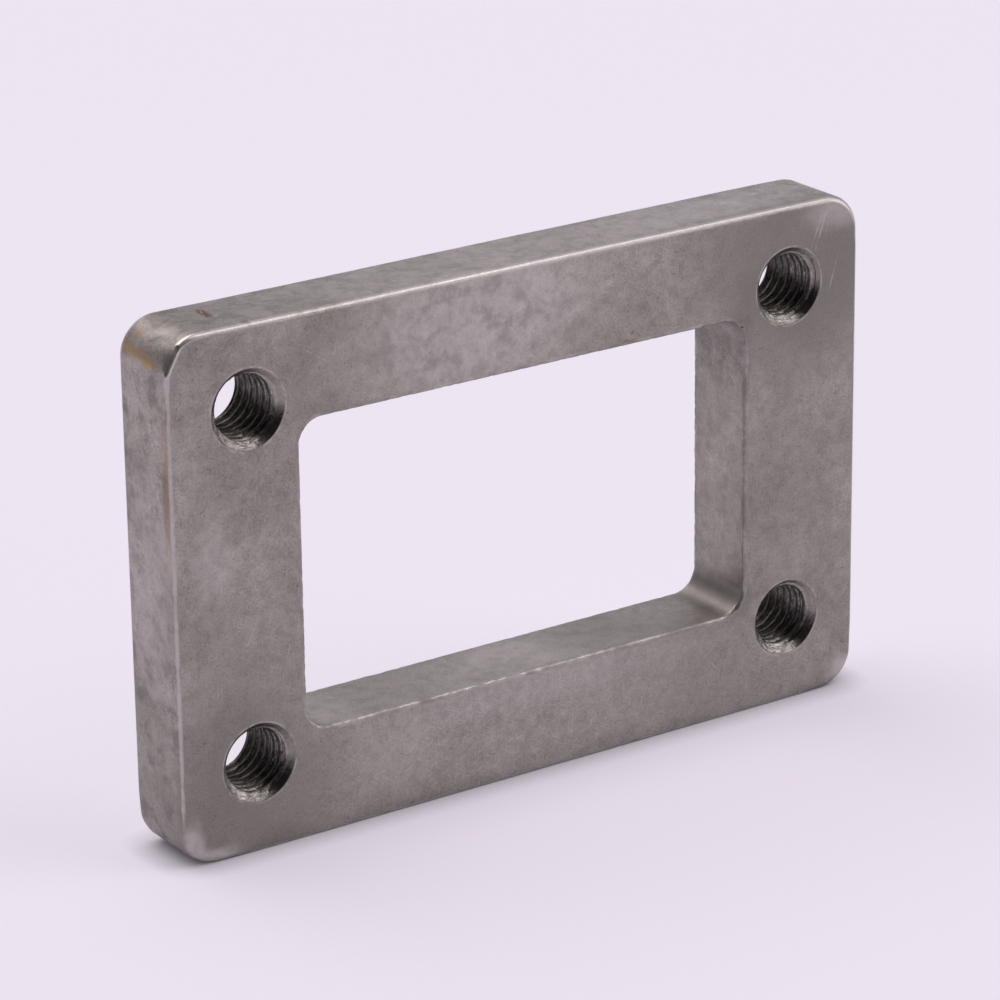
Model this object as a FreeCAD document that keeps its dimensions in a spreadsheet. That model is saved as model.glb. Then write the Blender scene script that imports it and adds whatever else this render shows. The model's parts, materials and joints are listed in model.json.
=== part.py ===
import FreeCAD, Part
import Sketcher
import math
import os

# Turbo inlet flange: one plate of mild steel with a rectangular gas port and four tapped holes.
# It stands on one long edge: X runs along it, Y is the thickness with the front face towards -Y,
# and Z is up. The origin is on the ground, under the middle of the plate.

doc = FreeCAD.newDocument("inlet_flange")

# Driving sizes in millimetres, one angle in degrees
sizes = {
    "plate_width": 110.0,
    "plate_height": 72.2,
    "plate_thick": 11.6,
    "corner_radius": 5.0,      # outer corners of the plate
    "edge_round": 0.5,         # tumbled rounding along the outline, front and back
    "end_wall": 19.3,          # steel left at each end of the port
    "rail_wall": 14.75,        # steel left above and below the port
    "port_radius": 3.5,
    "port_rise": 0.2,          # middle of the port above the middle of the plate
    "port_break": 0.25,        # edge break round both ends of the port
    "hole_from_end": 11.8,     # hole centres in from the short ends of the plate
    "hole_from_rail": 11.9,    # and in from its long edges
    "pattern_rise": 0.5,       # middle of the hole pattern above the middle of the plate
    "tap_drill": 8.6,          # bore that the M10 x 1.5 thread is cut in
    "mouth_step": 1.25,        # countersink at both ends of a hole, out from the bore
    "mouth_angle": 90.0,
}

# Formulas that more than one feature uses
half_thick = "sizes.plate_thick / 2"
half_height = "sizes.plate_height / 2"

sheet = doc.addObject("Spreadsheet::Sheet", "sizes")
for row, (name, value) in enumerate(sizes.items(), start=1):
    sheet.set(f"A{row}", name)
    sheet.set(f"B{row}", str(value))
    sheet.setAlias(f"B{row}", name)
doc.recompute()

body = doc.addObject("PartDesign::Body", "inlet_flange")
body.Label = "inlet_flange"


def upright_sketch(name):
    # A sketch on the upright plane through the middle of the thickness
    plane = next(item for item in body.Origin.OriginFeatures if item.Role == "XZ_Plane")
    sketch = body.newObject("Sketcher::SketchObject", name)
    sketch.AttachmentSupport = [(plane, "")]
    sketch.MapMode = "FlatFace"
    return sketch


def tie(sketch, name, formula, kind, *where):
    # Adds a dimension that follows the sheet
    index = sketch.addConstraint(Sketcher.Constraint(kind, *where, float(sheet.evalExpression(formula))))
    sketch.renameConstraint(index, name)
    sketch.setExpression(f"Constraints.{name}", formula)


def rounded_rectangle(sketch, width, height, radius, middle):
    # Four sides and four corner arcs, even about the upright axis, with the middle at a given height
    start = [float(sheet.evalExpression(formula)) for formula in (width, height, radius, middle)]
    wide, tall, curve, centre = start
    reach = wide / 2 - curve
    rise = tall / 2 - curve
    up = FreeCAD.Vector(0, 0, 1)
    arcs = []
    for quarter, (x, z) in enumerate(((reach, rise), (-reach, rise), (-reach, -rise), (reach, -rise))):
        circle = Part.Circle(FreeCAD.Vector(x, centre + z, 0), up, curve)
        arcs.append(Part.ArcOfCircle(circle, quarter * math.pi / 2, (quarter + 1) * math.pi / 2))
    top_side, left_side, bottom_side, right_side = 4, 5, 6, 7
    sketch.addGeometry(arcs)
    for arc, following in zip(arcs, arcs[1:] + arcs[:1]):
        sketch.addGeometry(Part.LineSegment(arc.EndPoint, following.StartPoint))
    for corner, side in enumerate((top_side, left_side, bottom_side, right_side)):
        sketch.addConstraint(Sketcher.Constraint("Tangent", corner, 2, side, 1))
        sketch.addConstraint(Sketcher.Constraint("Tangent", side, 2, (corner + 1) % 4, 1))
    sketch.addConstraint(Sketcher.Constraint("Horizontal", bottom_side))
    for side in (left_side, right_side):
        sketch.addConstraint(Sketcher.Constraint("Vertical", side))
    for corner in (1, 2, 3):
        sketch.addConstraint(Sketcher.Constraint("Equal", 0, corner))
    # -1 is the sketch's own origin and level axis, -2 its upright axis
    sketch.addConstraint(Sketcher.Constraint("Symmetric", top_side, 1, top_side, 2, -2))
    middle_point = sketch.addGeometry(Part.Point(FreeCAD.Vector(0, centre, 0)), True)
    sketch.addConstraint(Sketcher.Constraint("Symmetric", top_side, 1, bottom_side, 1, middle_point, 1))
    tie(sketch, "middle", middle, "DistanceY", -1, 1, middle_point, 1)
    tie(sketch, "width", width, "DistanceX", left_side, 1, right_side, 1)
    tie(sketch, "height", height, "DistanceY", bottom_side, 1, top_side, 1)
    tie(sketch, "radius", radius, "Radius", 0)


def edge_names(feature, edges):
    # The names under which a feature knows the given edges
    known = feature.Shape.Edges
    return [f"Edge{known.index(match) + 1}" for edge in edges for match in known if match.isSame(edge)]


def end_faces(feature):
    # The flat front and back faces of the plate
    half = sheet.plate_thick / 2
    return [face for face in feature.Shape.Faces
            if isinstance(face.Surface, Part.Plane) and abs(abs(face.CenterOfMass.y) - half) < 1e-6]


# The blank: a rounded rectangle standing on the ground
outline = upright_sketch("plate_outline")
rounded_rectangle(outline, "sizes.plate_width", "sizes.plate_height", "sizes.corner_radius", half_height)
blank = body.newObject("PartDesign::Pad", "blank")
blank.Profile = outline
blank.SideType = "Symmetric"
blank.setExpression("Length", "sizes.plate_thick")
doc.recompute()

# The gas port, straight through
port_outline = upright_sketch("port_outline")
rounded_rectangle(
    port_outline,
    "sizes.plate_width - 2 * sizes.end_wall",
    "sizes.plate_height - 2 * sizes.rail_wall",
    "sizes.port_radius",
    f"{half_height} + sizes.port_rise",
)
port = body.newObject("PartDesign::Pocket", "gas_port")
port.Profile = port_outline
port.SideType = "Symmetric"
port.setExpression("Length", "sizes.plate_thick")
doc.recompute()

# The bolt pattern: four circles on the front face, each as far in from its own corner of the plate
pattern = upright_sketch("bolt_pattern")
pattern.setExpression(".AttachmentOffset.Base.z", half_thick)
across = sheet.plate_width / 2 - sheet.hole_from_end
above = sheet.plate_height / 2 - sheet.hole_from_rail
centre = sheet.plate_height / 2 + sheet.pattern_rise
for x, z in ((across, above), (-across, above), (-across, -above), (across, -above)):
    spot = FreeCAD.Vector(x, centre + z, 0)
    pattern.addGeometry(Part.Circle(spot, FreeCAD.Vector(0, 0, 1), sheet.tap_drill / 2))
middle_point = pattern.addGeometry(Part.Point(FreeCAD.Vector(0, centre, 0)), True)
for hole in (1, 2, 3):
    pattern.addConstraint(Sketcher.Constraint("Equal", 0, hole))
pattern.addConstraint(Sketcher.Constraint("Symmetric", 0, 3, 1, 3, -2))
pattern.addConstraint(Sketcher.Constraint("PointOnObject", middle_point, 1, -2))
for hole, opposite in ((0, 2), (1, 3)):
    pattern.addConstraint(Sketcher.Constraint("Symmetric", hole, 3, opposite, 3, middle_point, 1))
tie(pattern, "middle", f"{half_height} + sizes.pattern_rise", "DistanceY", -1, 1, middle_point, 1)
tie(pattern, "across", "sizes.plate_width - 2 * sizes.hole_from_end", "DistanceX", 1, 3, 0, 3)
tie(pattern, "above", "sizes.plate_height - 2 * sizes.hole_from_rail", "DistanceY", 3, 3, 0, 3)
tie(pattern, "bore", "sizes.tap_drill", "Diameter", 0)
doc.recompute()

# Drilled through from the front, with a countersunk mouth
bores = body.newObject("PartDesign::Hole", "tapped_holes")
bores.Profile = pattern
doc.recompute()
bores.DepthType = "ThroughAll"
bores.setExpression("Diameter", "sizes.tap_drill")
bores.HoleCutType = "Countersink"
bores.HoleCutCustomValues = True
bores.setExpression("HoleCutDiameter", "sizes.tap_drill + 2 * sizes.mouth_step")
bores.setExpression("HoleCutCountersinkAngle", "sizes.mouth_angle")
doc.recompute()

# The same countersink where each hole comes out at the back
back = max(end_faces(bores), key=lambda face: face.CenterOfMass.y)
rims = [wire.Edges[0] for wire in back.Wires if len(wire.Edges) == 1]
back_mouths = body.newObject("PartDesign::Chamfer", "back_mouths")
back_mouths.Base = (bores, edge_names(bores, rims))
back_mouths.ChamferType = "Two distances"
back_mouths.setExpression("Size", "sizes.mouth_step")
back_mouths.setExpression("Size2", "sizes.mouth_step / tan(sizes.mouth_angle / 2)")
doc.recompute()

# Both ends of the port have their edge broken
port_edges = [edge for face in end_faces(back_mouths) for wire in face.Wires
              if len(wire.Edges) > 1 and not wire.isSame(face.OuterWire) for edge in wire.Edges]
port_breaks = body.newObject("PartDesign::Chamfer", "port_breaks")
port_breaks.Base = (back_mouths, edge_names(back_mouths, port_edges))
port_breaks.setExpression("Size", "sizes.port_break")
doc.recompute()

# The outline is rounded over, front and back
outline_edges = [edge for face in end_faces(port_breaks) for edge in face.OuterWire.Edges]
rounding = body.newObject("PartDesign::Fillet", "outline_rounding")
rounding.Base = (port_breaks, edge_names(port_breaks, outline_edges))
rounding.setExpression("Radius", "sizes.edge_round")
body.Tip = rounding
doc.recompute()

for item in doc.Objects:
    if "Invalid" in item.State or "Error" in item.State:
        raise RuntimeError(f"{item.Name} failed: {item.State}")

# Every step after the blank takes steel away
steps = [blank, port, bores, back_mouths, port_breaks, rounding]
for before, after in zip(steps, steps[1:]):
    if after.Shape.Volume >= before.Shape.Volume:
        raise RuntimeError(f"{after.Name} cuts nothing")

shape = body.Shape
if shape.isNull() or not shape.isValid() or len(shape.Solids) != 1:
    raise RuntimeError(f"{body.Label} is not one valid solid")
os.makedirs("parts", exist_ok=True)
shape.exportStep(f"parts/{body.Label}.step")
box = shape.optimalBoundingBox(False, False)
print(body.Label, "volume", round(shape.Volume, 1))
print("size", round(box.XLength, 3), round(box.YLength, 3), round(box.ZLength, 3))
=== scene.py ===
import json
import math

import bmesh
import bpy
from mathutils import Euler, Matrix, Vector, noise


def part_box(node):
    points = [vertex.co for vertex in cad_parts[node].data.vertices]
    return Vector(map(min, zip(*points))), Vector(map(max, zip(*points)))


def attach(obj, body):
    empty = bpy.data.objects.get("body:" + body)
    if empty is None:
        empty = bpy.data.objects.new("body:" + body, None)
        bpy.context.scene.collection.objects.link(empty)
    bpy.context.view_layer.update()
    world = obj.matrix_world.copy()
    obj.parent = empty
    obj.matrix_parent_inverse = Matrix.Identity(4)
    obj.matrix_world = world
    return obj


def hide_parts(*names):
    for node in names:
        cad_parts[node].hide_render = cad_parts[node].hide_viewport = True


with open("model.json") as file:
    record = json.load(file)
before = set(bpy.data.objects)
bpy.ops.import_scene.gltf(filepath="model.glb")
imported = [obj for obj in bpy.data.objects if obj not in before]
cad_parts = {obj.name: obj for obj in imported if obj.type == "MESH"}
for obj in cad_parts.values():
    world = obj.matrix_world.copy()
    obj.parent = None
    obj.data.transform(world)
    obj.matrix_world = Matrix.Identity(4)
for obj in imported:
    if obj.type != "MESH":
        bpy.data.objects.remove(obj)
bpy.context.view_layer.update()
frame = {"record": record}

mm = 0.001
low, high = [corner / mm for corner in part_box("inlet_flange")]
width = high.x - low.x
thick = high.y - low.y
height = high.z - low.z
middle = height / 2
half = thick / 2
holes = [Vector(mount["pos_m"]) / mm
         for mount in frame["record"]["mounts"] if mount["kind"] == "threaded_hole"]
print("frame loaded:", round(width, 2), "x", round(thick, 2), "x", round(height, 2), "mm,",
      len(holes), "tapped holes")


# The plate is modelled in millimetres, and its finished mesh is scaled to metres
plate = {
    "cornerRadius": 5.0,
    "cornerSteps": 16,
    "cutSpacing": 2.13,      # cuts across the flat faces, clear of the port's edges
    "edgeCuts": 2,           # further points between two cuts, along an edge
    "edgeRound": 0.5,
    "topWear": 0.45,         # the top edge is rounded this much more
    "endWear": -0.2,         # and the upright edges this much less
    "edgeSteps": 4,
    "shadeAngle": 38.0,      # edges sharper than this stay sharp
}

port = {
    "width": 71.4,
    "height": 42.7,
    "rise": 0.2,             # middle of the port above the middle of the plate
    "radius": 3.5,
    "cornerSteps": 12,
    "edgeCuts": 3,
    "longestEdge": 0.8,      # edges round the port that are longer than this are divided
    "edgeRound": 0.42,
    "edgeSteps": 3,
}

# Width, height, middle and corner radius of the two outlines
plateOutline = (width, height, middle, plate["cornerRadius"])
portOutline = (port["width"], port["height"], middle + port["rise"], port["radius"])

# How far the rounding of an edge grows towards a worn place: x, z, reach and growth
wornCorners = [
    (-55.0, 0.0, 6.0, 1.9),
    (55.0, 72.2, 6.0, 0.9),
    (55.0, 0.0, 7.0, 1.3),
    (-28.0, 72.2, 18.0, 0.5),
]


def outlineDistance(x, z, boxWidth, boxHeight, boxMiddle, radius):
    # Distance out from a rounded rectangle, below zero inside it, and the way out from its nearest point
    side = Vector((abs(x) - boxWidth / 2 + radius, abs(z - boxMiddle) - boxHeight / 2 + radius))
    beyond = Vector((max(side.x, 0.0), max(side.y, 0.0)))
    distance = beyond.length + min(max(side.x, side.y), 0.0) - radius
    if beyond.length > 0:
        out = beyond.normalized()
    elif side.x > side.y:
        out = Vector((1.0, 0.0))
    else:
        out = Vector((0.0, 1.0))
    return distance, Vector((math.copysign(out.x, x), math.copysign(out.y, z - boxMiddle)))


def roundedBlock(depth, outline, steps):
    blockWidth, blockHeight, blockMiddle, radius = outline
    bm = bmesh.new()
    bmesh.ops.create_cube(bm, size=1.0)
    bmesh.ops.scale(bm, vec=(blockWidth, depth, blockHeight), verts=bm.verts)
    bmesh.ops.translate(bm, vec=(0, 0, blockMiddle), verts=bm.verts)
    corners = [edge for edge in bm.edges if abs(edge.verts[0].co.y - edge.verts[1].co.y) > depth / 2]
    bmesh.ops.bevel(bm, geom=corners, offset=radius, segments=steps, profile=0.5, affect="EDGES", material=-1)
    return bm


def cutAcross(bm, axis, start, end, spacing):
    # Even cuts across the whole block, so that later shading stays local
    count = round((end - start) / spacing)
    for step in range(count + 1):
        place = Vector((0, 0, 0))
        place[axis] = start + (end - start) * step / count
        normal = Vector((0, 0, 0))
        normal[axis] = 1
        everything = bm.verts[:] + bm.edges[:] + bm.faces[:]
        bmesh.ops.bisect_plane(bm, geom=everything, dist=1e-5, plane_co=place, plane_no=normal)


def isRim(edge):
    # An edge between a flat end of the plate and a wall that runs through it
    if len(edge.link_faces) != 2:
        return False
    first, second = (abs(face.normal.y) for face in edge.link_faces)
    return abs(first - second) > 0.9


def splitRims(bm, rims, cuts, longest):
    bmesh.ops.bisect_edges(bm, edges=[edge for edge in rims if edge.calc_length() > longest], cuts=cuts)


def roundRims(bm, rims, amount, steps, outline, wear):
    # Bevels the rims, then grows or shrinks each cross-section about the sharp edge it came from
    made = bmesh.ops.bevel(bm, geom=rims, offset=amount, segments=steps, profile=0.5,
                           affect="EDGES", material=-1)
    for vert in made["verts"]:
        distance, out = outlineDistance(vert.co.x, vert.co.z, *outline)
        share = wear(vert.co)
        shift = out * distance * (share - 1)
        away = math.copysign((half - abs(vert.co.y)) * (share - 1), vert.co.y)
        vert.co = Vector((vert.co.x + shift.x, vert.co.y - away, vert.co.z + shift.y))


def outlineWear(place):
    side = 0 if place.y < 0 else 40
    share = 1 + 0.16 * noise.noise(Vector((place.x / 7, side, place.z / 7)))
    share += 0.14 * noise.noise(Vector((place.x / 1.6, side + 9, place.z / 1.6)))
    share += plate["topWear"] * max(0.0, 1 - (height - place.z) / plate["cornerRadius"])
    share += plate["endWear"] * max(0.0, 1 - (width / 2 - abs(place.x)) / plate["cornerRadius"])
    for x, z, reach, growth in wornCorners:
        share += growth * math.exp(-((place.x - x) ** 2 + (place.z - z) ** 2) / reach ** 2)
    return share


def portWear(place):
    side = 3 if place.y < 0 else 50
    share = 1 + 0.4 * noise.noise(Vector((place.x / 3, side, place.z / 3)))
    share += 0.8 * noise.noise(Vector((place.x / 0.8, side + 9, place.z / 0.8)))
    return min(max(share, 0.4), 1.5)


def toObject(bm, name):
    mesh = bpy.data.meshes.new(name)
    bm.to_mesh(mesh)
    bm.free()
    made = bpy.data.objects.new(name, mesh)
    bpy.context.scene.collection.objects.link(made)
    return made


def carve(block, cutter):
    # Takes the cutter out of the block and gives the block back
    blockObject = toObject(block, "block")
    cutterObject = toObject(cutter, "cutter")
    cut = blockObject.modifiers.new("cut", "BOOLEAN")
    cut.operation = "DIFFERENCE"
    cut.solver = "EXACT"
    cut.object = cutterObject
    carved = bmesh.new()
    carved.from_object(blockObject, bpy.context.evaluated_depsgraph_get())
    for used in (blockObject, cutterObject):
        mesh = used.data
        bpy.data.objects.remove(used)
        bpy.data.meshes.remove(mesh)
    carved.normal_update()
    return carved


# A flat left by a file on the front corner at the top left
filed = {
    "angle": 29.5,        # up from level, round the corner
    "tilt": 33.0,         # towards the front face
    "depth": 0.68,        # at the front face, along the corner's radius
}


def filedPlane():
    angle = math.radians(filed["angle"])
    tilt = math.radians(filed["tilt"])
    out = Vector((-math.cos(angle), 0, math.sin(angle)))
    heart = Vector((low.x + plate["cornerRadius"], -half, high.z - plate["cornerRadius"]))
    normal = out * math.cos(tilt) + Vector((0, -math.sin(tilt), 0))
    return heart + out * (plate["cornerRadius"] - filed["depth"]), normal


def fileCorner(bm):
    place, normal = filedPlane()
    everything = bm.verts[:] + bm.edges[:] + bm.faces[:]
    cut = bmesh.ops.bisect_plane(bm, geom=everything, dist=1e-4, plane_co=place, plane_no=normal,
                                 clear_outer=True)
    ring = [item for item in cut["geom_cut"] if isinstance(item, bmesh.types.BMEdge) and item.is_boundary]
    bmesh.ops.holes_fill(bm, edges=ring)


def makePlate():
    bm = roundedBlock(thick, plateOutline, plate["cornerSteps"])
    reach = width / 2 - plate["cornerRadius"]
    cutAcross(bm, 0, -reach, reach, plate["cutSpacing"])
    cutAcross(bm, 2, plate["cornerRadius"], height - plate["cornerRadius"], plate["cutSpacing"])
    bm.normal_update()
    longest = plate["cutSpacing"] / 2
    splitRims(bm, [edge for edge in bm.edges if isRim(edge)], plate["edgeCuts"], longest)
    rims = [edge for edge in bm.edges if isRim(edge)]
    roundRims(bm, rims, plate["edgeRound"], plate["edgeSteps"], plateOutline, outlineWear)
    fileCorner(bm)
    print("blank rounded:", len(bm.faces), "faces")
    return bm


def onPort(vert):
    distance, out = outlineDistance(vert.co.x, vert.co.z, *portOutline)
    return abs(distance) < 0.05


def portRims(bm):
    return [edge for edge in bm.edges if isRim(edge) and all(onPort(vert) for vert in edge.verts)]


def cutPort(bm):
    bm = carve(bm, roundedBlock(thick * 2, portOutline, port["cornerSteps"]))
    splitRims(bm, portRims(bm), port["edgeCuts"], port["longestEdge"])
    roundRims(bm, portRims(bm), port["edgeRound"], port["edgeSteps"], portOutline, portWear)
    bm.normal_update()
    print("port cut:", len(bm.faces), "faces")
    return bm


mouth = {
    "radius": 5.45,
    "angle": 90.0,
    "steps": 72,
    "rimRound": 0.09,
}

thread = {
    "pitch": 1.5,
    "crestRadius": 4.3,
    "rootRadius": 5.03,
    "rootFlat": 0.19,
    "flankAngle": 60.0,
    "crestRound": 0.21,      # softening of the crest's and the root's corners
    "rootRound": 0.08,
    "steps": 112,
    "waves": 0.06,           # unevenness along the thread
    "tears": 0.08,           # finer roughness left by the tap
    "starts": (0.1, 0.55, 0.3, 0.8),   # where the thread starts in each hole, in turns
}


def makeMouths():
    # Two cones for each hole, with their tips inside the bore and their bases outside the plate
    bm = bmesh.new()
    spare = 1.0
    slope = math.tan(math.radians(mouth["angle"] / 2))
    radius = mouth["radius"] + spare * slope
    depth = radius / slope
    for hole in holes:
        for side in (-1, 1):
            centre = Vector((hole.x, side * (half + spare - depth / 2), hole.z))
            turn = Matrix.Rotation(math.radians(90) * side, 4, "X")
            bmesh.ops.create_cone(bm, cap_ends=True, segments=mouth["steps"], radius1=radius, radius2=0.0,
                                  depth=depth, matrix=Matrix.Translation(centre) @ turn)
    bmesh.ops.remove_doubles(bm, verts=bm.verts, dist=1e-4)
    return bm


def makeTap(start):
    # One turn of the thread's profile, repeated along the hole and spun up the helix
    pitch = thread["pitch"]
    flank = (thread["rootRadius"] - thread["crestRadius"]) * math.tan(math.radians(thread["flankAngle"] / 2))
    crestFlat = pitch - 2 * flank - thread["rootFlat"]
    profile = [
        (0.0, thread["crestRadius"]),
        (crestFlat, thread["crestRadius"]),
        (crestFlat + flank, thread["rootRadius"]),
        (crestFlat + flank + thread["rootFlat"], thread["rootRadius"]),
    ]
    turns = math.ceil(thick / pitch) + 2
    bm = bmesh.new()
    line = [bm.verts.new((radius, along + turn * pitch, 0))
            for turn in range(turns) for along, radius in profile]
    for first, second in zip(line, line[1:]):
        bm.edges.new((first, second))
    crests = [vert for vert in line[1:-1] if vert.co.x < thread["crestRadius"] + 0.01]
    roots = [vert for vert in line[1:-1] if vert.co.x > thread["rootRadius"] - 0.01]
    for corners, amount in ((crests, thread["crestRound"]), (roots, thread["rootRound"])):
        bmesh.ops.bevel(bm, geom=corners, offset=amount, segments=2, profile=0.5,
                        affect="VERTICES", material=-1)
    steps = thread["steps"]
    bmesh.ops.spin(bm, geom=bm.verts[:] + bm.edges[:], cent=(0, 0, 0), axis=(0, 1, 0), angle=2 * math.pi,
                   dvec=(0, pitch / steps, 0), steps=steps)
    bmesh.ops.remove_doubles(bm, verts=bm.verts, dist=1e-4)
    for vert in bm.verts:
        along = Vector((vert.co.x * 0.7, vert.co.y * 1.7 + start * 50, vert.co.z * 0.7))
        across = Vector((vert.co.x * 2.2, vert.co.y * 3.0 + start * 70, vert.co.z * 2.2))
        shift = thread["waves"] * noise.noise(along) + thread["tears"] * noise.noise(across)
        vert.co += Vector((vert.co.x, 0, vert.co.z)).normalized() * shift
    lengthwise = sorted(vert.co.y for vert in bm.verts)
    for end in (lengthwise[0] - pitch, lengthwise[-1] + pitch):
        # Each open end is drawn together to a point on the axis
        near = [edge for edge in bm.edges if edge.is_boundary
                and all(abs(vert.co.y - end) < 3.1 * pitch for vert in edge.verts)]
        drawn = bmesh.ops.extrude_edge_only(bm, edges=near)
        tip = [item for item in drawn["geom"] if isinstance(item, bmesh.types.BMVert)]
        bmesh.ops.pointmerge(bm, verts=tip, merge_co=(0, end, 0))
    bmesh.ops.recalc_face_normals(bm, faces=bm.faces)
    centre = (lengthwise[0] + lengthwise[-1]) / 2
    bmesh.ops.translate(bm, vec=(0, -centre, 0), verts=bm.verts)
    bmesh.ops.rotate(bm, cent=(0, 0, 0), matrix=Matrix.Rotation(2 * math.pi * start, 3, "Y"), verts=bm.verts)
    return bm


def makeTaps():
    together = bmesh.new()
    for hole, start in zip(holes, thread["starts"]):
        tap = makeTap(start)
        bmesh.ops.translate(tap, vec=hole, verts=tap.verts)
        mesh = bpy.data.meshes.new("tap")
        tap.to_mesh(mesh)
        tap.free()
        together.from_mesh(mesh)
        bpy.data.meshes.remove(mesh)
    return together


def isMouthRim(edge):
    # An edge on a flat face, round the wide end of a mouth
    ends = []
    for vert in edge.verts:
        if abs(abs(vert.co.y) - half) > 1e-3:
            return False
        ends.append(min(math.hypot(vert.co.x - hole.x, vert.co.z - hole.z) for hole in holes))
    return all(abs(end - mouth["radius"]) < 0.02 for end in ends)


def tapHoles(bm):
    bm = carve(bm, makeMouths())
    rims = [edge for edge in bm.edges if isMouthRim(edge)]
    bmesh.ops.bevel(bm, geom=rims, offset=mouth["rimRound"], segments=2, profile=0.5,
                    affect="EDGES", material=-1)
    bm = carve(bm, makeTaps())
    print("holes tapped:", len(bm.faces), "faces")
    return bm


# Small marks cut into the steel: place, size, turn in degrees
nicks = [
    {"at": (-45.25, 0.95, 72.25), "size": (0.35, 1.7, 0.3), "turn": (0, 0, -10)},
    {"at": (-35.75, -5.75, 29.6), "size": (0.22, 0.3, 0.3), "turn": (0, 0, 0)},
    {"at": (35.75, 5.75, 38.1), "size": (0.3, 0.35, 0.3), "turn": (0, 0, 0)},
]


def cutNicks(bm):
    cutter = bmesh.new()
    for nick in nicks:
        turn = Euler([math.radians(angle) for angle in nick["turn"]]).to_matrix().to_4x4()
        shape = Matrix.Translation(nick["at"]) @ turn @ Matrix.Diagonal((*nick["size"], 1))
        made = bmesh.ops.create_icosphere(cutter, subdivisions=2, radius=1.0, matrix=shape)
        for vert in made["verts"]:
            vert.co += 0.06 * noise.noise_vector(vert.co * 2.3)
    bm = carve(bm, cutter)
    print("nicks cut:", len(bm.faces), "faces")
    return bm


def finishPlate(bm):
    bmesh.ops.remove_doubles(bm, verts=bm.verts, dist=1e-5)
    bmesh.ops.dissolve_degenerate(bm, edges=bm.edges, dist=1e-5)
    print("open edges left:", sum(not edge.is_manifold for edge in bm.edges))
    bmesh.ops.scale(bm, vec=(mm, mm, mm), verts=bm.verts)
    made = toObject(bm, "flange")
    made.data.shade_smooth()
    made.data.set_sharp_from_angle(angle=math.radians(plate["shadeAngle"]))
    weighted = made.modifiers.new("even", "WEIGHTED_NORMAL")
    weighted.keep_sharp = True
    return made


flange = finishPlate(tapHoles(cutNicks(cutPort(makePlate()))))
print("flange finished:", len(flange.data.polygons), "faces")


class Flow:
    # One output of a node, so that shader maths reads as plain sums
    def __init__(self, tree, socket=None):
        self.tree = tree
        self.socket = socket

    def node(self, kind, settings=None, inputs=None, output=0):
        made = self.tree.nodes.new("ShaderNode" + kind)
        for name, value in (settings or {}).items():
            setattr(made, name, value)
        for name, value in (inputs or {}).items():
            if isinstance(value, Flow):
                self.tree.links.new(value.socket, made.inputs[name])
            else:
                made.inputs[name].default_value = value
        return Flow(self.tree, made.outputs[output])

    def math(self, operation, first, second=0.0):
        return self.node("Math", {"operation": operation}, {0: first, 1: second})

    def vector(self, operation, other):
        return self.node("VectorMath", {"operation": operation}, {0: self, 1: other})

    def __add__(self, other):
        return self.math("ADD", self, other)

    def __radd__(self, other):
        return self.math("ADD", other, self)

    def __sub__(self, other):
        return self.math("SUBTRACT", self, other)

    def __rsub__(self, other):
        return self.math("SUBTRACT", other, self)

    def __mul__(self, other):
        return self.math("MULTIPLY", self, other)

    def __rmul__(self, other):
        return self.math("MULTIPLY", other, self)

    def __truediv__(self, other):
        return self.math("DIVIDE", self, other)

    def __abs__(self):
        return self.math("ABSOLUTE", self)

    def least(self, other):
        return self.math("MINIMUM", self, other)

    def most(self, other):
        return self.math("MAXIMUM", self, other)

    def fade(self, start, end, share=1.0):
        # 0 before start and share after end, or the other way round where start is the larger
        return self.node("MapRange", {"interpolation_type": "SMOOTHSTEP"},
                         {"Value": self, "From Min": start, "From Max": end, "To Min": 0.0, "To Max": share})

    def inside(self, centre, reach, turn=(0, 0, 0)):
        # The place within a turned box: 0 at its centre and 1 where its reach ends
        if not any(turn):
            return self.vector("SUBTRACT", centre).vector("DIVIDE", reach)
        angles = [math.radians(angle) for angle in turn]
        return self.node("Mapping", {"vector_type": "TEXTURE"},
                         {"Vector": self, "Location": centre, "Rotation": angles, "Scale": reach})

    def grain(self, size, detail=3.0, roughness=0.55, warp=0.0, turn=(0, 0, 0), stretch=(1, 1, 1)):
        # Noise from 0 to 1 on a place in millimetres, with spots of about the given size
        place = self.inside((0, 0, 0), [size * share for share in stretch], turn)
        return self.node("TexNoise", {}, {"Vector": place, "Scale": 1.0, "Detail": detail,
                                          "Roughness": roughness, "Distortion": warp})

    def blend(self, share, other):
        # Mixes a colour over this one
        return self.node("Mix", {"data_type": "RGBA"}, {0: share, 6: self, 7: other}, output=2)


steel = {
    "lightTone": (0.458, 0.425, 0.389, 1),
    "darkTone": (0.185, 0.169, 0.154, 1),
    # A pale tone for worn places, also used for painted highlights
    "wornAndHighlightTone": (0.58, 0.55, 0.53, 1),
    "rustTone": (0.40, 0.28, 0.155, 1),
    "stainTone": (0.17, 0.125, 0.095, 1),
    "threadTone": (0.40, 0.375, 0.35, 1),
    # A near black for soot and specks, also used for painted shade in the holes
    "sootAndShadeTone": (0.06, 0.056, 0.052, 1),
    "roughness": 0.44,
    "fineGrain": 0.34,       # sizes of the finish's spots in millimetres
    "mottleGrain": 1.8,
    "cloudGrain": 13.0,
    "speckGrain": 0.5,
    "blotchGrain": 3.0,
    "paleGrain": 4.5,
    "hairGrain": 0.13,
    "lipGrain": 3.2,
    "tornGrain": 0.5,
    "hairTurns": (28, 97, 151),      # the ways that the tumbled hairs run, in degrees
    "bumpStrength": 0.35,
    "bumpHeight": 0.05 * mm,
}

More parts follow.
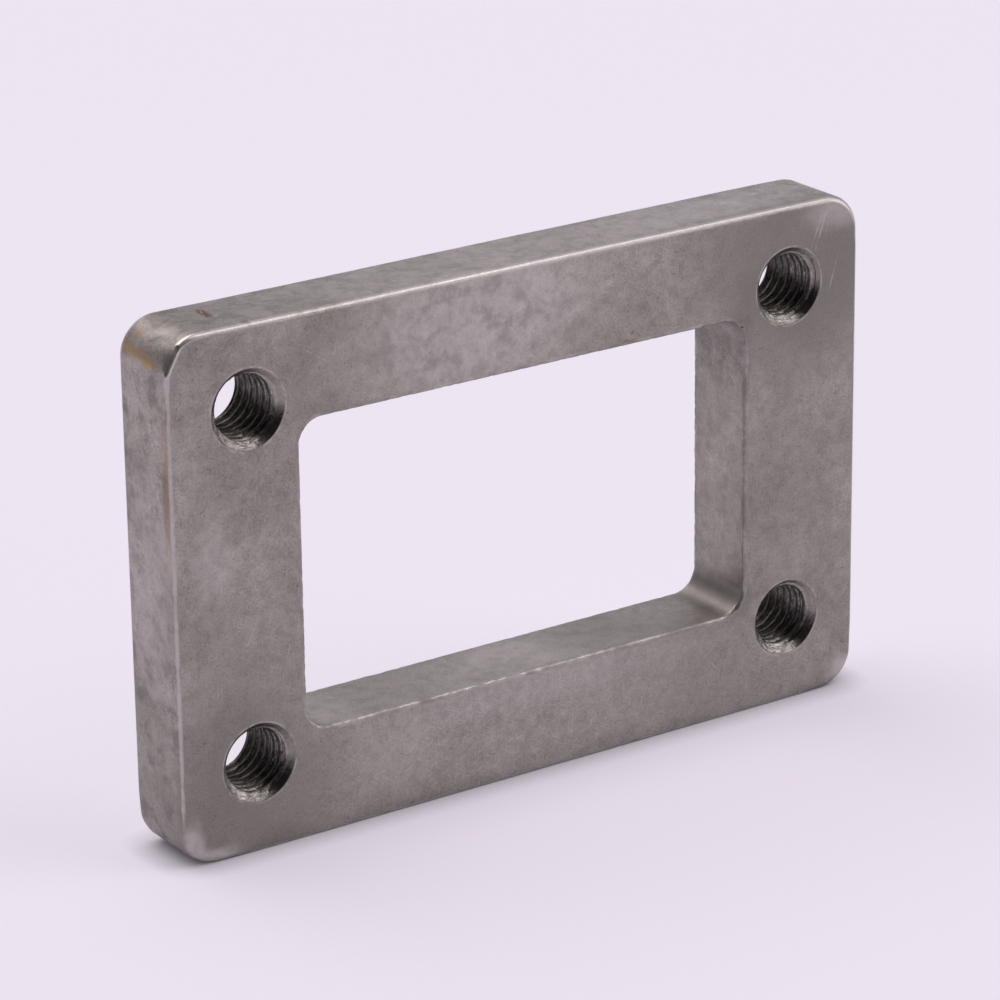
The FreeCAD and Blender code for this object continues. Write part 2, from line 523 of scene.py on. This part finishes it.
# Uneven patches on the steel: middle, reach, tone and how strongly it covers
patches = [
    ((-8, -5.8, 66), (17, 2, 9), "wornAndHighlightTone", 0.46),
    ((-33, -5.8, 64), (7, 2, 9), "darkTone", 0.22),
    ((-49, -5.8, 42), (3.0, 2, 6), "wornAndHighlightTone", 0.27),
    ((-21.6, -5.8, 7.3), (6, 2, 4), "lightTone", 0.3),
    ((0, -5.8, 8), (24, 2, 7), "wornAndHighlightTone", 0.12),
    ((4, -5.8, 12.6), (26, 2, 2.6), "wornAndHighlightTone", 0.22),
    ((1, 0, 14.95), (7, 6, 1), "wornAndHighlightTone", 0.27),
    ((-31, 0, 14.95), (4, 6, 1), "wornAndHighlightTone", 0.2),
    ((0, 0, 14.95), (34, 6, 1), "wornAndHighlightTone", 0.2),
    ((-20, 0, 14.95), (8, 6, 1), "darkTone", 0.22),
    ((17, 0, 14.95), (10, 6, 1), "darkTone", 0.22),
    ((-55, 0, 38), (1, 6, 12), "wornAndHighlightTone", 0.26),
    # Paler top face, partly painted light
    ((0, 0, 72.2), (34, 6, 1), "wornAndHighlightTone", 0.32),
    # Painted shade: darker towards the bottom left of the front
    ((-44, -5.8, 6), (13, 2, 12), "darkTone", 0.5),
    ((30, -5.8, 8), (20, 2, 9), "darkTone", 0.2),
    ((45, -5.8, 64), (15, 2, 14), "darkTone", 0.66),
    ((44, -5.8, 34), (9, 2, 18), "darkTone", 0.2),
    ((-46, -5.8, 22), (7, 2, 12), "darkTone", 0.28),
    ((35.7, 0, 35), (1, 6, 18), "lightTone", 0.15),
    ((35.0, 0, 55), (2, 7, 6), "darkTone", 0.5),
    # Painted shade over the highlight in the port's lower right inner corner
    ((34.3, 0, 16.4), (3.0, 7, 2.4), "darkTone", 1.0),
    ((-55, 1, 10), (1, 6, 12), "darkTone", 0.15),
    # Pale worn bottom left corner, partly painted highlight on its rounding
    ((-53.4, -5.7, 2.7), (1.5, 0.8, 3.4), "wornAndHighlightTone", 0.6),
    ((-51.0, -5.7, 1.0), (4, 0.8, 1.3), "wornAndHighlightTone", 0.7),
    ((-43, 0, 72.2), (12, 6, 1), "darkTone", 0.2),
    # Paler top face on the right, partly painted light
    ((36, 0, 72.2), (16, 6, 1), "wornAndHighlightTone", 0.36),
    ((53.6, -5.7, 2.2), (2.6, 1.0, 2.4), "wornAndHighlightTone", 0.6),
    ((36.9, 0.6, 72.2), (0.7, 0.3, 0.4), "wornAndHighlightTone", 0.8),
    ((38.2, 0.2, 72.2), (0.4, 0.3, 0.4), "wornAndHighlightTone", 0.8),
    ((42.6, 1.8, 72.2), (0.9, 0.25, 0.4), "wornAndHighlightTone", 0.8),
    ((30.5, -1.6, 72.2), (0.8, 0.25, 0.4), "wornAndHighlightTone", 0.6),
    ((51.5, -5.7, 70.4), (5, 1.0, 2.4), "wornAndHighlightTone", 0.4),
    ((-54.7, 4.6, 68.95), (1.3, 2.2, 0.75), "rustTone", 0.75),
    ((-54.8, 1.6, 68.7), (1.3, 2.2, 0.75), "rustTone", 0.75),
    ((-54.9, -1.3, 68.15), (1.0, 2.0, 0.65), "rustTone", 0.9),
    ((-53.6, 3.0, 70.7), (0.9, 1.0, 0.7), "rustTone", 0.5),
    ((-55, -4.8, 52), (0.8, 0.8, 9), "rustTone", 0.35),
    ((-55, -4.7, 51), (0.8, 0.8, 4.5), "stainTone", 0.55),
    ((-55, -0.4, 3.05), (0.6, 0.9, 0.5), "stainTone", 1.2),
    ((16.4, -5.8, 58.0), (1.5, 1, 0.4), "rustTone", 0.5),
    ((16.6, -5.8, 57.9), (1.2, 1, 0.35), "stainTone", 0.8),
    ((-45.25, 1.1, 72.2), (0.5, 1.8, 0.6), "stainTone", 1.4),
]

# Places that the finish treats in their own way: middle, reach and share
sootyWall = ((35.7, 0, 54), (1.5, 8, 8), 0.5)
cloudyBar = ((-8, -5.8, 66), (19, 2, 9), 0.42)
hairyBar = ((0, -5.8, 8), (40, 2, 8), 1.0)

# Bright scratches: middle, half its length, half its width, and turn in degrees from the X axis
scratches = [
    ((48.9, -5.8, 68.5), 3.0, 0.17, (0, -70, 0)),
    ((48.0, -5.8, 68.0), 2.2, 0.13, (0, -68, 0)),
    ((49.9, -5.8, 68.8), 1.6, 0.12, (0, -75, 0)),
    ((50.9, -5.8, 61.4), 2.2, 0.12, (0, -73, 0)),
    ((-6.0, -5.8, 63.5), 2.4, 0.07, (0, -20, 0)),
    ((-33.0, -5.8, 66.0), 1.6, 0.07, (0, 35, 0)),
    ((30.5, -5.8, 8.3), 1.8, 0.11, (0, 48, 0)),
    ((-44.0, -5.8, 30.0), 1.9, 0.07, (0, -62, 0)),
    ((31.0, -2.0, 72.2), 0.6, 0.12, (0, 0, 20)),
    ((-44.6, -0.9, 72.2), 0.4, 0.22, (0, 0, 30)),
    ((-27.0, 2.0, 14.95), 1.9, 0.10, (0, 0, -63)),
    ((27.4, 1.4, 14.95), 1.3, 0.10, (0, 0, 25)),
    ((31.5, 2.2, 14.95), 1.6, 0.10, (0, 0, -12)),
    ((-55.0, 1.5, 25.5), 1.3, 0.12, (0, 65, 0)),
]


def lengthOf(first, second):
    # Of the two sides, how long the slant is
    return first.math("SQRT", first * first + second * second)


def outlineMask(x, z, boxWidth, boxHeight, boxMiddle, radius):
    # The same distance as outlineDistance gives, in the finish
    sideX = abs(x) - (boxWidth / 2 - radius)
    sideZ = abs(z - boxMiddle) - (boxHeight / 2 - radius)
    return lengthOf(sideX.most(0.0), sideZ.most(0.0)) + sideX.most(sideZ).least(0.0) - radius


def shapeMasks(place):
    # Distances in millimetres from the plate's own outlines, and ways round its holes
    x, y, z = [place.node("SeparateXYZ", {}, {"Vector": place}, output=index) for index in range(3)]
    centre = sum(hole.z for hole in holes) / len(holes)
    holeX = abs(x) - abs(holes[0].x)
    holeZ = abs(z - centre) - abs(holes[0].z - centre)
    bore = lengthOf(holeX, holeZ)
    right = holeX * x.math("SIGN", x) / bore
    up = holeZ * z.math("SIGN", z - centre) / bore
    return {
        "inward": 0.0 - outlineMask(x, z, *plateOutline),
        "fromPort": outlineMask(x, z, *portOutline),
        "behind": half - abs(y),
        "top": z.fade(height - 8, height - 2),
        "bore": bore,
        "lowRight": right * 0.82 - up * 0.57,       # 1 straight towards 4 o'clock
        "lowLeft": 0.0 - (right + up) * 0.71,       # and towards half past 7
    }


def spot(place, centre, reach, share=1.0, turn=(0, 0, 0), soft=0.6):
    # The share in the middle of a soft ellipsoid and 0 outside it
    scaled = place.inside(centre, reach, turn)
    length = scaled.node("VectorMath", {"operation": "LENGTH"}, {0: scaled}, output=1)
    return length.fade(1.0 + soft, 1.0 - soft, share)


def tumbledLayers(place, moved, at, grains):
    # Specks, blotches, pale clouds and the fine hairs that tumbling leaves
    specks = place.grain(steel["speckGrain"], detail=1.0).fade(0.68, 0.76)
    sides = at["inward"].fade(0.6, 0.3).most(at["fromPort"].fade(0.6, 0.3) * 0.45)
    sooty = spot(moved, *sootyWall) * grains["mottle"].fade(0.38, 0.62)
    pale = place.grain(steel["paleGrain"], detail=3.0, roughness=0.6, warp=0.4).fade(0.53, 0.63)
    hairs = 0.0
    for turn in steel["hairTurns"]:
        hair = place.grain(steel["hairGrain"], detail=1.0, turn=(0, turn, 0), stretch=(18, 5, 1), warp=0.15)
        hairs = hair.fade(0.61, 0.70) + hairs
    combed = grains["clouds"].fade(0.4, 0.65).most(spot(place, *hairyBar))
    return [
        (specks * 0.38, "sootAndShadeTone"),
        (grains["blotches"].fade(0.50, 0.64) * (sides * 0.66 + 0.05), "darkTone"),
        (sooty, "sootAndShadeTone"),
        (pale * sides * 0.4, "lightTone"),
        (hairs.least(1.0) * combed * 0.42, "wornAndHighlightTone"),
    ]


def markedLayers(place, moved, grains):
    # The patches and scratches that stand in their own places
    uneven = grains["mottle"] + 0.5
    layers = [(spot(moved, centre, reach, share) * uneven, tone) for centre, reach, tone, share in patches]
    layers.append((grains["blotches"].fade(0.42, 0.66) * spot(moved, *cloudyBar), "darkTone"))
    broken = grains["mottle"].fade(0.35, 0.6)
    for centre, length, breadth, turn in scratches:
        line = spot(place, centre, (length, breadth, breadth), 0.42, turn, 0.8)
        layers.append((line * broken, "wornAndHighlightTone"))
    return layers


def wearAndHighlightMasks(place, at, grains):
    # Where edges are worn bright and where highlights and shade are painted: outline, port, filed flat and
    # hole mouths
    uneven = grains["mottle"] - 0.5
    # Worn edges of the outline, partly painted highlight: the band is widened along the top edge
    edge = (at["inward"] + at["behind"]) / (at["top"] * 0.8 + 1.0) + uneven * 0.35
    # The port's lip likewise: worn, and partly painted highlight
    fromLip = at["fromPort"] + at["behind"]
    breaks = place.grain(steel["lipGrain"], detail=4.0, roughness=0.65)
    facetPlace, facetNormal = filedPlane()
    level = place.node("VectorMath", {"operation": "DOT_PRODUCT"}, {0: place, 1: facetNormal}, output=1)
    level = level - facetPlace.dot(facetNormal)
    return {
        "edge": edge.fade(0.5, 0.26),
        "lip": (fromLip + uneven).fade(0.8, 0.3),
        # Painted shade: dark breaks along the lip's highlight
        "gaps": fromLip.fade(0.9, 0.4) * breaks.fade(0.38, 0.62),
        # Painted reflection: the filed flat is darkened, and a painted highlight runs along its border on the
        # front
        "facet": level.fade(-0.07, -0.02),
        "facetRim": level.fade(-0.4, -0.15) * at["behind"].fade(0.3, 0.1),
        # A lighter ring round each hole mouth: a worn burr, and partly painted highlight
        "ring": abs(at["bore"] - 5.62 + uneven * 0.25).fade(0.16, 0.06) * grains["mottle"].fade(0.4, 0.6),
    }


def wornAndHighlightLayers(wear):
    # Worn tone and painted highlights on edges, lip, facet border and mouth rings; painted shade in the lip's
    # gaps and on the filed flat
    return [
        (wear["edge"] * 0.62, "wornAndHighlightTone"),
        (wear["lip"] * 0.32, "wornAndHighlightTone"),
        (wear["gaps"] * 0.42, "darkTone"),
        (wear["facet"] * 0.5, "darkTone"),
        (wear["facetRim"] * 0.8, "wornAndHighlightTone"),
        (wear["ring"] * 0.4, "wornAndHighlightTone"),
    ]


def holeMasks(at, torn):
    # Where the thread and its crests lie, and the dirt and painted shade inside the holes
    inHole = at["bore"].fade(5.55, 5.4)
    lowLeft = at["lowLeft"].fade(0.3, 0.8)
    reached = at["bore"] - lowLeft * 0.5 + (torn - 0.5) * (lowLeft * 0.8 + 0.5)
    threads = reached.fade(4.8, 4.5) * inHole
    # Painted shade towards 4 o'clock, where the hole reflects the dark side of the room, with torn dirt over
    # the thread
    dirtAndShade = at["lowRight"].fade(0.78, 0.95) * 0.62 + torn.fade(0.44, 0.6) * threads * 0.6
    return {
        "inHole": inHole,
        # Painted shade on the mouth's cone towards half past 7
        "shaded": inHole * lowLeft,
        "threads": threads,
        "dirtAndShade": inHole * dirtAndShade.least(1.0),
        # Painted shade over the thread's crests, left off on the side away from 4 o'clock
        "crest": at["bore"].fade(4.56, 4.42) * at["lowRight"].fade(-0.5, 0.4),
    }


def holeLayers(hole):
    return [
        (hole["shaded"] * 0.95, "darkTone"),
        (hole["threads"], "threadTone"),
        (hole["dirtAndShade"], "sootAndShadeTone"),
        (hole["crest"] * 0.6, "sootAndShadeTone"),
    ]


def steelFinish():
    material = bpy.data.materials.new("tumbledSteel")
    material.use_nodes = True
    tree = material.node_tree
    shader = tree.nodes["Principled BSDF"]
    metres = Flow(tree).node("TexCoord", output=3)
    place = metres.node("VectorMath", {"operation": "SCALE"}, {0: metres, 3: 1 / mm})
    wobble = place.node("TexNoise", {}, {"Vector": place, "Scale": 0.45, "Detail": 3.0}, output=1)
    wobble = wobble.vector("SUBTRACT", (0.5, 0.5, 0.5)).vector("MULTIPLY", (2.0, 1.2, 2.0))
    moved = wobble.vector("ADD", place)

    at = shapeMasks(place)
    fine = place.grain(steel["fineGrain"], detail=3.0, roughness=0.6)
    mottle = place.grain(steel["mottleGrain"], detail=4.0, roughness=0.62, warp=0.3)
    clouds = place.grain(steel["cloudGrain"], detail=3.0, roughness=0.5, warp=0.6)
    blotches = place.grain(steel["blotchGrain"], detail=4.0, roughness=0.62, warp=0.3)
    torn = place.grain(steel["tornGrain"], detail=3.0, roughness=0.7, warp=0.3, stretch=(1.7, 0.6, 1.7))
    grains = {"mottle": mottle, "clouds": clouds, "blotches": blotches}
    wear = wearAndHighlightMasks(place, at, grains)
    hole = holeMasks(at, torn)

    shade = 0.5 + (fine - 0.5) * 0.6 + (mottle - 0.5) * 0.55 + (clouds - 0.5) * 0.4
    colour = place.node("Mix", {"data_type": "RGBA"}, {0: shade.fade(0.1, 0.9), 6: steel["darkTone"],
                                                       7: steel["lightTone"]}, output=2)
    layers = tumbledLayers(place, moved, at, grains) + markedLayers(place, moved, grains)
    for share, tone in layers + wornAndHighlightLayers(wear) + holeLayers(hole):
        colour = colour.blend(share, steel[tone])

    roughness = steel["roughness"] + (fine - 0.5) * 0.15 + (mottle - 0.5) * 0.1
    roughness = roughness - hole["inHole"] * 0.14 + hole["crest"] * 0.2
    roughness = roughness - wear["edge"] * 0.05 - wear["lip"] * 0.03 + wear["gaps"] * 0.15
    relief = fine + mottle * 0.6 + torn * hole["inHole"] * (hole["threads"] * 10.0 + 4.0)
    bump = place.node("Bump", {}, {"Strength": steel["bumpStrength"], "Distance": steel["bumpHeight"],
                                   "Height": relief})
    tree.links.new(colour.socket, shader.inputs["Base Color"])
    tree.links.new(roughness.socket, shader.inputs["Roughness"])
    tree.links.new(bump.socket, shader.inputs["Normal"])
    shader.inputs["Metallic"].default_value = 1.0
    return material


flange.data.materials.clear()
flange.data.materials.append(steelFinish())
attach(flange, "root")
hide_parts("inlet_flange")
print("steel finish made")


studio = {
    "floorTone": (0.334, 0.326, 0.341, 1),
    "floorGlow": (0.505, 0.460, 0.530, 1),    # painted light: the floor glows like a lit table, which keeps the shadows pale
    "contactShadowReach": 4.5 * mm,                 # how far the painted contact shadow, a dark line where the plate stands, spreads
    "floorSize": 3.0,
    "backTone": (0.84, 0.78, 0.87, 1),
    "roofTone": (0.97, 0.912, 1.0, 1),        # the bright half of the room, behind the plate
    "dimTone": (0.045, 0.043, 0.045, 1),      # the dark half, round the camera
    "roofStrength": 0.60,
    "lampTone": (1.0, 0.955, 0.985),
}

softboxes = [
    # name, place in metres, what it points at, width, height, power in watts
    ("overhead", (-0.45, 0.80, 2.10), (0, 0, 0), 2.0, 2.0, 34.0),
    ("rightFront", (0.92, -0.86, 1.65), (0, 0, 0.03), 0.9, 1.2, 9.6),
    ("rightSide", (1.55, -0.75, 0.47), (0, 0, 0.03), 0.8, 0.8, 5.0),
    ("rightLow", (1.20, -1.50, 0.55), (0, 0, 0.03), 1.0, 0.8, 3.5),
]

view = {
    "aim": (-0.961, 0.0, 37.763),     # mm, on the plate's middle plane
    "distance": 609.805,
    "turn": -34.410,                  # degrees, the camera stands to the left of the front
    "rise": 20.104,
    "roll": -0.752,
    "lens": 164.24,
    "sensor": 36.0,
}


def makeFloor():
    bm = bmesh.new()
    bmesh.ops.create_grid(bm, x_segments=1, y_segments=1, size=studio["floorSize"])
    floor = toObject(bm, "floor")
    paint = bpy.data.materials.new("paleFloor")
    paint.use_nodes = True
    tree = paint.node_tree
    sockets = tree.nodes["Principled BSDF"].inputs
    # Painted contact shadow: the floor's glow is dimmed by ambient occlusion near the plate
    glow = Flow(tree).node("AmbientOcclusion", {"samples": 3},
                           {"Color": studio["floorGlow"], "Distance": studio["contactShadowReach"]})
    tree.links.new(glow.socket, sockets["Emission Color"])
    sockets["Base Color"].default_value = studio["floorTone"]
    sockets["Emission Strength"].default_value = 1.0
    sockets["Roughness"].default_value = 0.9
    sockets["Specular IOR Level"].default_value = 0.1
    floor.data.materials.append(paint)


def makeBackground():
    world = bpy.data.worlds.new("studio")
    world.use_nodes = True
    bpy.context.scene.world = world
    tree = world.node_tree
    start = Flow(tree)
    seen = start.node("LightPath", output=0)
    direction = start.node("TexCoord", output=0)
    turn = math.radians(view["turn"])
    away = start.node("VectorMath", {"operation": "DOT_PRODUCT"},
                      {0: direction, 1: (-math.sin(turn), math.cos(turn), 0)}, output=1)
    bright = away.fade(-0.3, 0.3)
    room = start.node("Mix", {"data_type": "RGBA"},
                      {0: bright, 6: studio["dimTone"], 7: studio["roofTone"]}, output=2)
    lit = start.node("VectorMath", {"operation": "SCALE"}, {0: room, 3: studio["roofStrength"]})
    tone = start.node("Mix", {"data_type": "RGBA"}, {0: seen, 6: lit, 7: studio["backTone"]}, output=2)
    tree.links.new(tone.socket, tree.nodes["Background"].inputs["Color"])


def addSoftbox(name, place, target, boxWidth, boxHeight, power):
    light = bpy.data.lights.new(name, "AREA")
    light.shape = "RECTANGLE"
    light.size = boxWidth
    light.size_y = boxHeight
    light.energy = power
    light.color = studio["lampTone"]
    lamp = bpy.data.objects.new(name, light)
    lamp.location = place
    lamp.rotation_euler = (Vector(target) - Vector(place)).to_track_quat("-Z", "Y").to_euler()
    bpy.context.scene.collection.objects.link(lamp)


def addCamera():
    lens = bpy.data.cameras.new("camera")
    lens.sensor_width = view["sensor"]
    lens.lens = view["lens"]
    lens.clip_start = 0.01
    lens.clip_end = 20
    camera = bpy.data.objects.new("camera", lens)
    turn = Matrix.Rotation(math.radians(view["turn"]), 4, "Z")
    tip = Matrix.Rotation(math.radians(90 - view["rise"]), 4, "X")
    roll = Matrix.Rotation(math.radians(view["roll"]), 4, "Z")
    look = turn @ tip @ roll
    aim = Vector(view["aim"]) * mm
    away = look @ Vector((0, 0, view["distance"] * mm))
    camera.matrix_world = Matrix.Translation(aim + away) @ look
    bpy.context.scene.collection.objects.link(camera)
    bpy.context.scene.camera = camera


makeFloor()
makeBackground()
for box in softboxes:
    addSoftbox(*box)
addCamera()
bpy.context.scene.view_settings.view_transform = "Standard"
print("studio set up")
